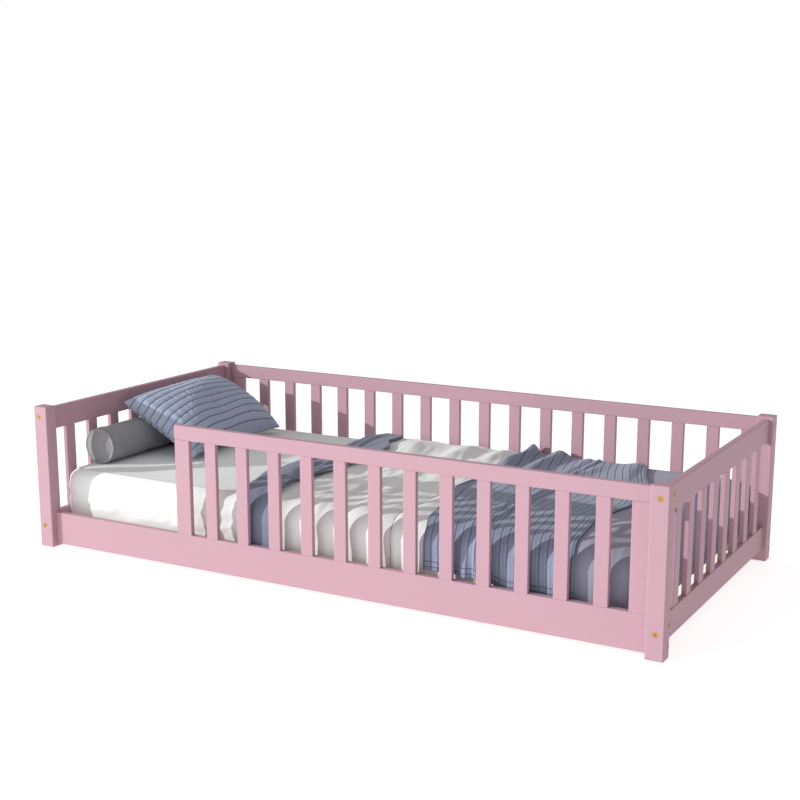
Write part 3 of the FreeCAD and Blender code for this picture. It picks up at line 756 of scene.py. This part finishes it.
def duvet_surface(thickness):
    """Flat cloth, its head end turned back over itself round a half circle, laid on the mattress and
    over its front and foot edges. Rows run along the bed from the turned-back hem, columns from the
    rear edge to the front hem."""
    b = np.linspace(0, DUVET_ACROSS, DUVET_COLUMNS)[None]
    across = REAR_RAIL_Y - DUVET_REAR_GAP - b
    turned = edge_line(TURNED_ALONG, across, DUVET_LAST, 0.003, 0.12, 45)
    head = edge_line(HEAD_ALONG, across, DUVET_LAST, 0.004, 0.2, 41) + FOLD_RADIUS
    under = head + (DUVET_FOOT_X + FOOT_HANG - head) * np.linspace(0, 1, DUVET_ROWS)[:, None]
    left = 1 - np.linspace(0, 1, BAND_ROWS)[:, None]
    turn = np.linspace(0, math.pi, TURN_ROWS)[1:-1, None]
    along = np.concatenate([head + turned * left, head - FOLD_RADIUS * np.sin(turn), under])
    a = np.concatenate([head - math.pi * FOLD_RADIUS - turned * left, head + FOLD_RADIUS * (turn - math.pi),
                        under])
    lift = np.concatenate([2 * FOLD_RADIUS + 0 * left, FOLD_RADIUS * (1 + np.cos(turn)), 0 * under[:, :1]])
    across = across + 0 * along
    share = np.minimum(1, lift / (2 * FOLD_RADIUS)) * smooth(across, -0.44, -0.36) \
        * (1 - smooth(across, 0.30, 0.42))
    puff = (0.006 - 0.004 * smooth(across, 0.0, 0.2)) * folds(along * 0.8, across, 47) * share
    puff = puff + 0.002 * bell(along - head, 0.03) * (lift > 0)
    points, normals, hung = over_edges(along, across, DUVET_CORNER)
    stand = duvet_stand(normals, hung, along, across) + thickness / 2 + lift + puff
    return points + normals * stand[..., None], quads(*along.shape), np.stack([a, b + 0 * a], axis=-1)


def throw_surface(duvet_thickness, thickness):
    """A throw laid over the duvet and its front edge, with ridges at its rear, pleats where it hangs and
    one fold gathered down its front. Rows run from the head edge to the foot edge, both of which wander
    across the bed, columns from the rear edge to the front hem."""
    share = np.linspace(0, 1, THROW_ROWS)[:, None]
    b = np.linspace(0, THROW_ACROSS, THROW_COLUMNS)[None]
    across = REAR_RAIL_Y - THROW_REAR_GAP - b
    head = edge_line(THROW_HEAD, across, THROW_LAST, 0.0015, 0.30, 51)
    foot = edge_line(THROW_FOOT, across, THROW_LAST, 0.0020, 0.30, 52)
    along = head + (foot - head) * share
    across = across - b * 0.022 * smooth(share, 0.35, 0.6)
    points, normals, hung = over_edges(along, across, (NO_FOOT_EDGE, DUVET_CORNER[1]))
    top = 0.0005 * folds(along * 1.15, across, 53) + sum(ridge(along, across, *r) for r in THROW_RIDGES)
    past = along - THROW_GATHER - 0.10 * hung
    gather = 0.011 * bell(past + 0.020, 0.014) + 0.013 * bell(past - 0.013, 0.008)
    hang = PLEAT_DEPTH * pleats(along * 1.4, hung, 54) + gather * smooth(hung, -0.04, 0.05)
    stand = duvet_stand(normals, hung, along, across) + duvet_thickness + THROW_GAP + thickness / 2 \
        + top * smooth(normals[..., 2], 0.1, 0.95) + hang
    cloth = np.stack([share * THROW_ALONG + 0 * b, b + 0 * share], axis=-1)
    return points + normals * stand[..., None], quads(*along.shape), cloth


def thicken(obj, thickness, reverse=0):
    """Gives a sheet its thickness to both sides, with its rim closed, and applies it."""
    solid = obj.modifiers.new("thickness", "SOLIDIFY")
    solid.thickness = thickness
    solid.offset = 0.0
    solid.use_even_offset = False
    solid.material_offset = reverse
    solid.material_offset_rim = reverse
    shown = obj.evaluated_get(bpy.context.evaluated_depsgraph_get())
    made = bpy.data.meshes.new_from_object(shown)
    obj.modifiers.remove(solid)
    old = obj.data
    obj.data = made
    bpy.data.meshes.remove(old)
    made.name = obj.name
    return obj


# ---- Operators ---------------------------------------------------------------------------
def settings():
    """The add-on's property groups in the current scene."""
    scene = bpy.context.scene
    return scene.bed_finishes, scene.bedding_sizes, scene.bed_studio


class BED_OT_frame(bpy.types.Operator):
    """Paints the posts, rails, stiles and slats, and finishes the mattress support"""
    bl_idname = "bed.frame"
    bl_label = "Finish the Frame"

    def execute(self, context):
        finishes = settings()[0]
        paints = {along: paint_finish(finishes, along) for along in "xyz"}
        raw = {"x": raw_wood_finish(finishes, "planed_cleats", "x"),
               "y": raw_wood_finish(finishes, "planed_slats", "y")}
        for name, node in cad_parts.items():
            if name.startswith(("post_", "guard_s", "rear_s", "head_slat", "foot_slat")):
                give(node, paints["z"])
            elif name.endswith("_cleat"):
                give(node, raw["x"])
            elif name in ("support_slats", "locating_dowels"):
                give(node, raw["y"])
            elif name.startswith(("head_", "foot_")):
                give(node, paints["y"])
            elif name.endswith("_rail"):
                give(node, paints["x"])
        return {"FINISHED"}


class BED_OT_hardware(bpy.types.Operator):
    """Finishes the cross bolts, barrel nuts and screws"""
    bl_idname = "bed.hardware"
    bl_label = "Finish the Hardware"

    def execute(self, context):
        finishes = settings()[0]
        give(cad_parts["cross_bolts"], metal_finish("aged_brass", finishes.brass, 0.25))
        steel = metal_finish("zinc_plate", finishes.steel, 0.32)
        for name in ("barrel_nuts", "cleat_screws", "support_slat_screws"):
            give(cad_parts[name], steel)
        return {"FINISHED"}


class BED_OT_mattress(bpy.types.Operator):
    """Makes the mattress in its fitted sheet"""
    bl_idname = "bed.mattress"
    bl_label = "Make the Mattress"

    def execute(self, context):
        mattress = welded(piece("mattress_in_sheet", *mattress_surface(MATTRESS_LOW, MATTRESS_HIGH)))
        give(mattress, sheet_finish(settings()[0]))
        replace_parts(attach(mattress, "mattress"), "mattress")
        return {"FINISHED"}


class BED_OT_bolster(bpy.types.Operator):
    """Makes the round bolster"""
    bl_idname = "bed.bolster"
    bl_label = "Make the Bolster"

    def execute(self, context):
        bolster = welded(piece("jersey_bolster", *bolster_surface(BOLSTER_LOW, BOLSTER_HIGH)))
        give(bolster, jersey_finish(settings()[0]))
        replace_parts(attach(bolster, "bolster"), "bolster")
        return {"FINISHED"}


class BED_OT_pillow(bpy.types.Operator):
    """Makes the channel-stitched pillow"""
    bl_idname = "bed.pillow"
    bl_label = "Make the Pillow"

    def execute(self, context):
        finishes, sizes, _ = settings()
        pillow = welded(piece("quilted_pillow", *pillow_surface(sizes)), 1e-4)
        simulate(pillow, PILLOW_FRAMES, PILLOW_CAP, PILLOW_CLOTH)
        give(pillow, quilting_finish(finishes.pillow_yarn, finishes.thread_and_groove_shade, "quilted_yarn",
                                     sizes.channel_pitch, PILLOW_STITCHES))
        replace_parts(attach(pillow, "pillow"), "pillow")
        return {"FINISHED"}


class BED_OT_duvet(bpy.types.Operator):
    """Makes the two-sided duvet with its turned-back head end"""
    bl_idname = "bed.duvet"
    bl_label = "Make the Duvet"

    def execute(self, context):
        finishes, sizes, _ = settings()
        duvet = piece("washed_duvet", *duvet_surface(sizes.duvet_thickness))
        give(duvet, duvet_finish(finishes.duvet_face, "washed_cotton_face", finishes.duvet_foot),
             duvet_finish(finishes.duvet_reverse, "washed_cotton_reverse"))
        thicken(duvet, sizes.duvet_thickness, 1)
        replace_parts(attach(duvet, "duvet"), "duvet")
        return {"FINISHED"}


class BED_OT_throw(bpy.types.Operator):
    """Makes the throw blanket over the foot of the bed"""
    bl_idname = "bed.throw"
    bl_label = "Make the Throw Blanket"

    def execute(self, context):
        finishes, sizes, _ = settings()
        throw = piece("striped_throw", *throw_surface(sizes.duvet_thickness, sizes.throw_thickness))
        give(throw, quilting_finish(finishes.throw_yarn, finishes.thread_and_groove_shade, "striped_yarn",
                                    sizes.stripe_pitch, THROW_STITCHES, THROW_HEMS))
        thicken(throw, sizes.throw_thickness)
        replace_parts(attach(throw, "throw"), "throw_blanket")
        return {"FINISHED"}


FLOOR_HALF = 30.0
FLOOR_GLOW = 0.62
KEY_DIRECTION = (1.25, 1.0, -0.464)
KEY_ANGLE = math.radians(0.8)
KEY_COLOUR = (0.96, 1.0, 0.99)
BOX_PLACE = (-1.7, -2.7, 1.3)
BOX_AIM = (-0.5, 0.0, 0.2)
BOX_WIDTH, BOX_HEIGHT = 3.5, 2.0
DOME_COLOUR = (0.99, 0.985, 1.0, 1)
CAMERA_PLACE = (2.0295, -3.6216, 1.2811)
CAMERA_SHIFT = 0.0428


def aim(obj, direction):
    """Turns a lamp or a camera to look along a direction."""
    obj.rotation_mode = "QUATERNION"
    obj.rotation_quaternion = Vector(direction).to_track_quat("-Z", "Y")


class BED_OT_stage(bpy.types.Operator):
    """Makes the pale floor, the studio light and the camera"""
    bl_idname = "bed.stage"
    bl_label = "Make the Studio"

    def execute(self, context):
        studio = settings()[2]
        scene = context.scene
        scene.view_settings.view_transform = "Standard"
        corners = FLOOR_HALF * np.array([[-1, -1, 0], [1, -1, 0], [1, 1, 0], [-1, 1, 0]])
        floor = piece("pale_floor", corners, [[0, 1, 2, 3]])
        shade = Shade("pale_floor", Specular_IOR_Level=0.1)
        speck = shade.noise(shade.place(), 3.0)
        give(floor, shade.finish(Base_Color=shade.mix(speck, (0.86, 0.86, 0.86, 1), (0.88, 0.88, 0.88, 1)),
                                 Roughness=0.9, Emission_Color=(1, 1, 1, 1), Emission_Strength=FLOOR_GLOW))
        self.light(scene, studio, floor)
        self.dome(scene, studio)
        self.camera(scene, studio)
        return {"FINISHED"}

    def light(self, scene, studio, floor):
        """A low key light on the bed alone, and a soft box in front."""
        key = bpy.data.objects.new("low_key", bpy.data.lights.new("low_key", "SUN"))
        key.data.energy = studio.sun
        key.data.angle = KEY_ANGLE
        key.data.color = KEY_COLOUR
        aim(key, KEY_DIRECTION)
        lit = bpy.data.collections.new("lit_by_key")
        key.light_linking.receiver_collection = lit
        lit.objects.link(floor)
        lit.collection_objects[0].light_linking.link_state = "EXCLUDE"
        box = bpy.data.objects.new("front_box", bpy.data.lights.new("front_box", "AREA"))
        box.data.energy = studio.front
        box.data.shape = "RECTANGLE"
        box.data.size = BOX_WIDTH
        box.data.size_y = BOX_HEIGHT
        box.location = BOX_PLACE
        aim(box, Vector(BOX_AIM) - Vector(BOX_PLACE))
        for lamp in (key, box):
            scene.collection.objects.link(lamp)

    def dome(self, scene, studio):
        """Soft light all round, which looks white to the camera."""
        world = bpy.data.worlds.new("dome")
        scene.world = world
        world.use_nodes = True
        tree = world.node_tree
        tree.nodes.clear()
        seen = tree.nodes.new("ShaderNodeLightPath")
        dome = tree.nodes.new("ShaderNodeBackground")
        dome.inputs["Strength"].default_value = studio.dome
        dome.inputs["Color"].default_value = DOME_COLOUR
        white = tree.nodes.new("ShaderNodeBackground")
        white.inputs["Color"].default_value = (1, 1, 1, 1)
        mixed = tree.nodes.new("ShaderNodeMixShader")
        output = tree.nodes.new("ShaderNodeOutputWorld")
        tree.links.new(seen.outputs["Is Camera Ray"], mixed.inputs[0])
        tree.links.new(dome.outputs[0], mixed.inputs[1])
        tree.links.new(white.outputs[0], mixed.inputs[2])
        tree.links.new(mixed.outputs[0], output.inputs[0])

    def camera(self, scene, studio):
        """A camera that looks down on the bed from the front of its foot end."""
        camera = bpy.data.objects.new("camera", bpy.data.cameras.new("camera"))
        a, e = studio.azimuth, studio.elevation
        camera.location = CAMERA_PLACE
        aim(camera, (-math.sin(a) * math.cos(e), math.cos(a) * math.cos(e), -math.sin(e)))
        camera.data.lens = studio.lens
        camera.data.shift_y = CAMERA_SHIFT
        scene.collection.objects.link(camera)
        scene.camera = camera


class BED_PT_panel(bpy.types.Panel):
    """Lists the bed's sizes, colours and makers"""
    bl_idname = "BED_PT_panel"
    bl_label = "Floor Bed"
    bl_space_type = "VIEW_3D"
    bl_region_type = "UI"
    bl_category = "Floor Bed"

    def draw(self, context):
        for group in settings():
            box = self.layout.box()
            for key in group.bl_rna.properties.keys():
                if key not in ("rna_type", "name"):
                    box.prop(group, key)
        for maker in MAKERS:
            self.layout.operator(maker.bl_idname)


GROUPS = {"bed_finishes": BedFinishes, "bedding_sizes": BeddingSizes, "bed_studio": StudioSettings}
MAKERS = (BED_OT_stage, BED_OT_frame, BED_OT_hardware, BED_OT_mattress, BED_OT_bolster, BED_OT_pillow,
          BED_OT_duvet, BED_OT_throw)


def register():
    for cls in (*GROUPS.values(), *MAKERS, BED_PT_panel):
        bpy.utils.register_class(cls)
    for key, group in GROUPS.items():
        setattr(bpy.types.Scene, key, PointerProperty(type=group))


def unregister():
    for key in GROUPS:
        delattr(bpy.types.Scene, key)
    for cls in reversed((*GROUPS.values(), *MAKERS, BED_PT_panel)):
        bpy.utils.unregister_class(cls)


def main():
    """Makes everything in order."""
    register()
    for maker in MAKERS:
        group, action = maker.bl_idname.split(".")
        getattr(getattr(bpy.ops, group), action)()


if __name__ == "__main__":
    main()
